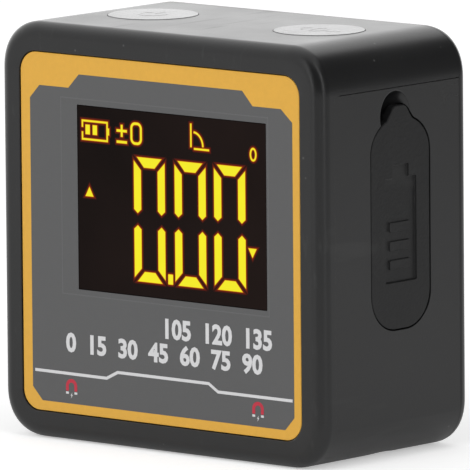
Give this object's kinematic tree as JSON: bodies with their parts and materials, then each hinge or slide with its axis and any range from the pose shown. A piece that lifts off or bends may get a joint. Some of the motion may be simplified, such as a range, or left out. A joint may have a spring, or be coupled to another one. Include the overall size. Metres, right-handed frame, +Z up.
{
  "type": "digital angle gauge",
  "caption": "Square plastic box gauge with a large angle display, push buttons in its top, a side battery door and a magnetic grooved base.",
  "frame": {"origin": "middle of the base, on the surface it stands on", "axes": "+Z up, display faces -Y"},
  "size_m": [0.0604, 0.0324, 0.0604],
  "materials": {
    "black_plastic": "fine-grained moulded black plastic",
    "label_film": "printed film, orange border and grey field",
    "window_plastic": "dark clear window",
    "display_glass": "dark display glass",
    "light_guide": "yellow backlight",
    "contact_rubber": "layered contact rubber",
    "white_plastic": "plain white plastic",
    "circuit_board": "green circuit board",
    "chip_black": "black component plastic",
    "button_plastic": "smooth dark grey plastic",
    "contact_metal": "plated spring metal",
    "tray_plastic": "plain black plastic",
    "cell_jacket": "printed cell jacket",
    "door_plastic": "coarse-grained moulded black plastic",
    "magnet_nickel": "nickel plate",
    "screw_steel": "blackened steel"
  },
  "bodies": {
    "case": {"front_housing": "black_plastic", "rear_cover": "black_plastic", "front_label": "label_film", "display_window": "window_plastic", "display_glass": "display_glass", "display_backlight": "light_guide", "display_connector": "contact_rubber", "display_frame": "white_plastic", "main_board": "circuit_board", "button_board": "circuit_board", "processor": "chip_black", "tilt_sensor": "chip_black", "board_link": "chip_black", "switch_left": "chip_black", "switch_right": "chip_black", "dome_left": "contact_metal", "dome_right": "contact_metal", "battery_tray": "tray_plastic", "cell_lower": "cell_jacket", "cell_upper": "cell_jacket", "contact_plate": "contact_metal", "contact_spring": "contact_metal", "magnet_left": "magnet_nickel", "magnet_right": "magnet_nickel", "board_screw_left": "screw_steel", "board_screw_right": "screw_steel", "board_screw_upper": "screw_steel", "cover_screw_lower_left": "screw_steel", "cover_screw_lower_right": "screw_steel", "cover_screw_upper_left": "screw_steel", "cover_screw_upper_right": "screw_steel"},
    "left_button": {"button_left": "button_plastic", "plunger_left": "white_plastic"},
    "right_button": {"button_right": "button_plastic", "plunger_right": "white_plastic"},
    "door": {"battery_door": "door_plastic", "door_contact": "contact_metal"}
  },
  "joints": [
    {"name": "button_left_press", "type": "slide", "parent": "case", "child": "left_button", "axis": [0, 0, -1], "range_m": [0, 0.0006], "stiffness_N_per_m": 2500, "deforming": ["dome_left"]},
    {"name": "button_right_press", "type": "slide", "parent": "case", "child": "right_button", "axis": [0, 0, -1], "range_m": [0, 0.0006], "stiffness_N_per_m": 2500, "deforming": ["dome_right"]},
    {"name": "door_tilt", "type": "hinge", "parent": "case", "child": "door", "pos_m": [0.03005, 0.0013, 0.01845], "axis": [0, 1, 0], "range_deg": [0, 55]}
  ]
}
